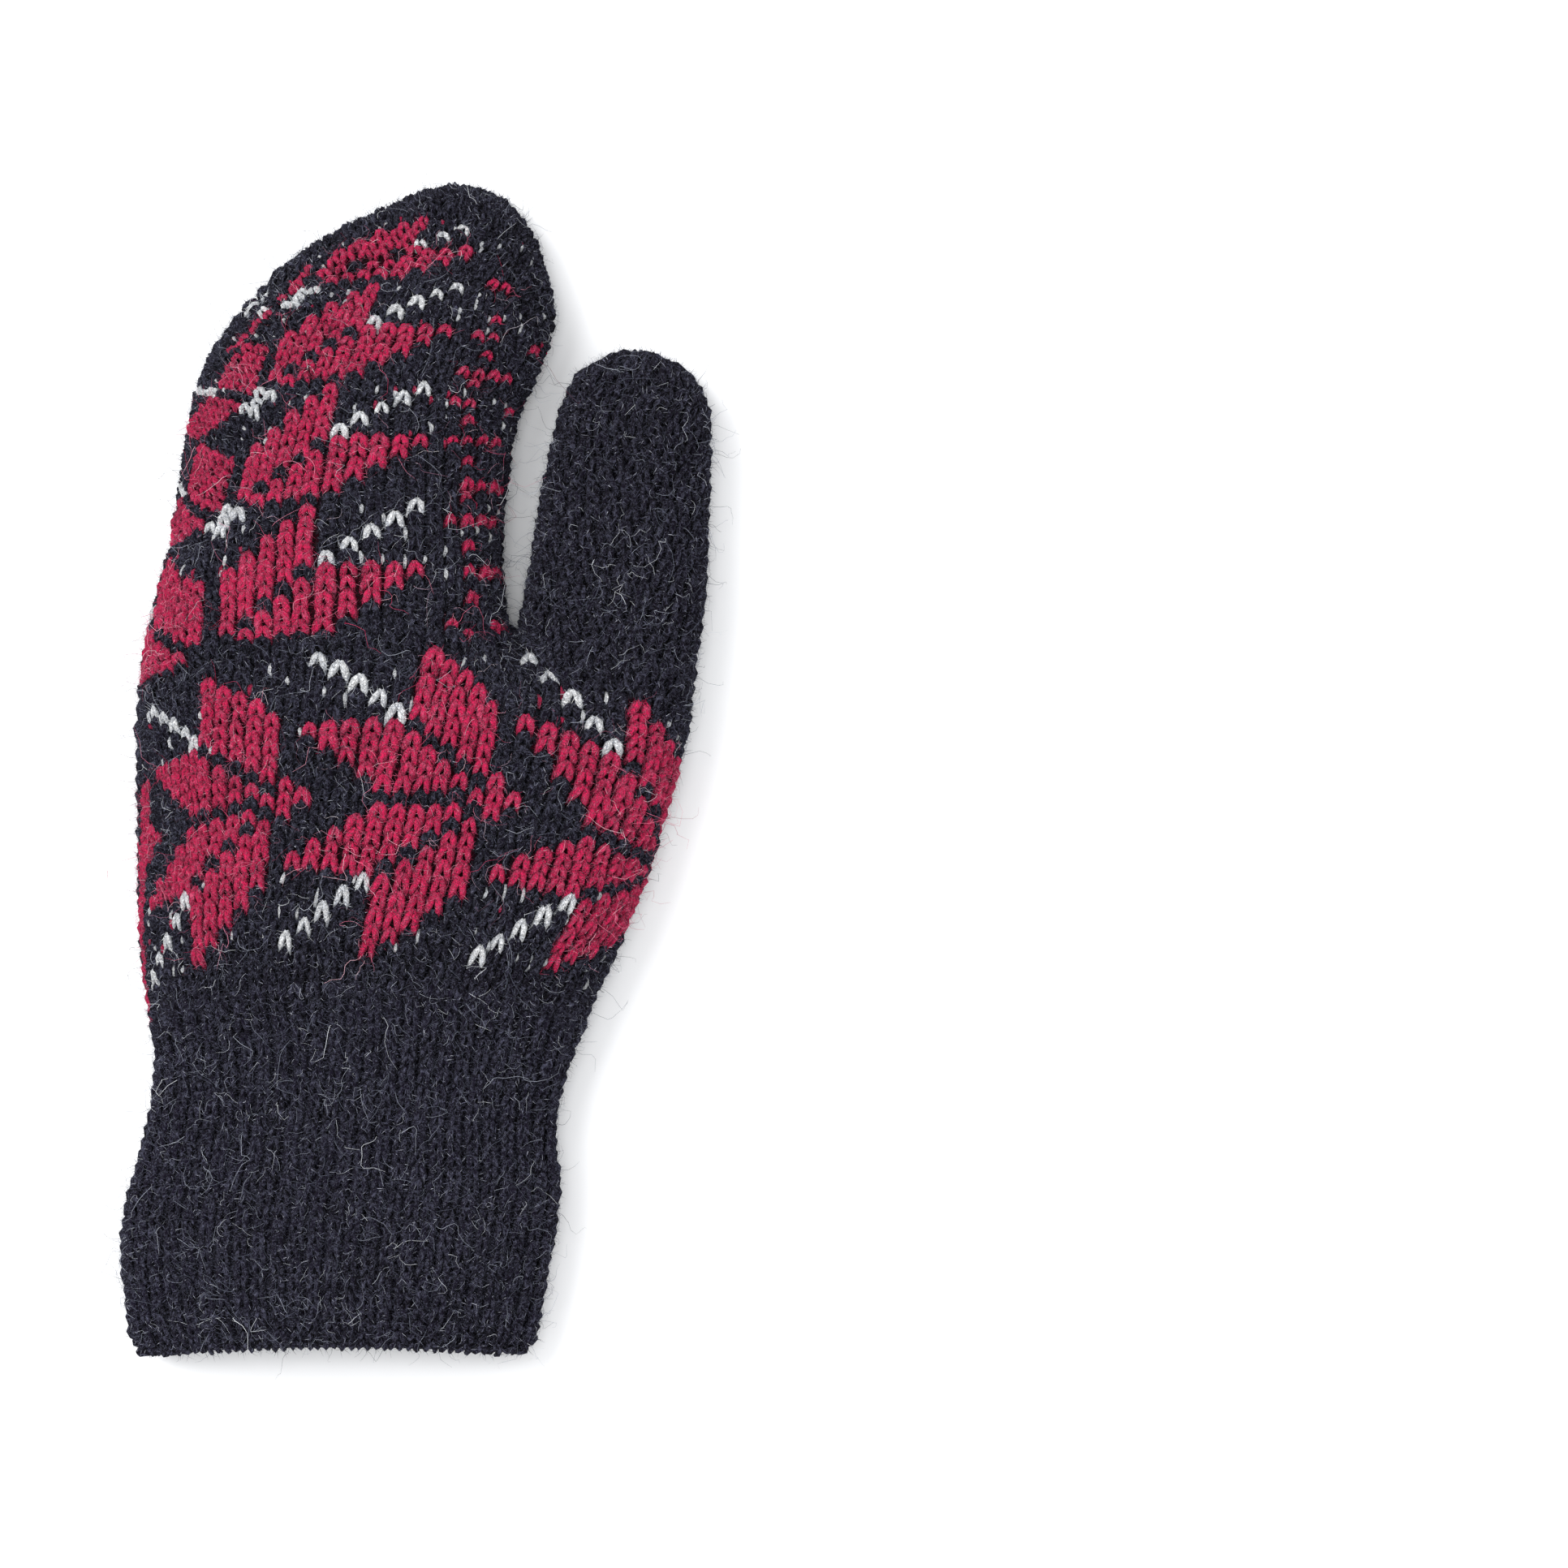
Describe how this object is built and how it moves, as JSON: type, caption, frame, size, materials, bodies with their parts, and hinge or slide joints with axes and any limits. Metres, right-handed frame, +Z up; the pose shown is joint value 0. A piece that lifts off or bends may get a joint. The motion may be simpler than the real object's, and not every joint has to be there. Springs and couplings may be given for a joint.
{
  "type": "knitted mitten",
  "caption": "Hollow knitted wool mitten lying flat, with a ribbed cuff open at the wrist, a patterned hand closed at the tip and a separate plain thumb.",
  "frame": {"origin": "centre of the outline seen from above, on the surface that the mitten lies on", "axes": "+Y from the wrist to the fingertips, +X towards the thumb, +Z up from the surface"},
  "size_m": [0.1367, 0.2692, 0.0485],
  "materials": {
    "cuff_wool": "soft brushed charcoal wool in ribs",
    "hand_wool": "soft brushed wool in black, crimson and white",
    "thumb_wool": "soft brushed black wool"
  },
  "bodies": {
    "root": {"cuff": "cuff_wool", "hand": "hand_wool", "thumb": "thumb_wool"}
  },
  "joints": []
}
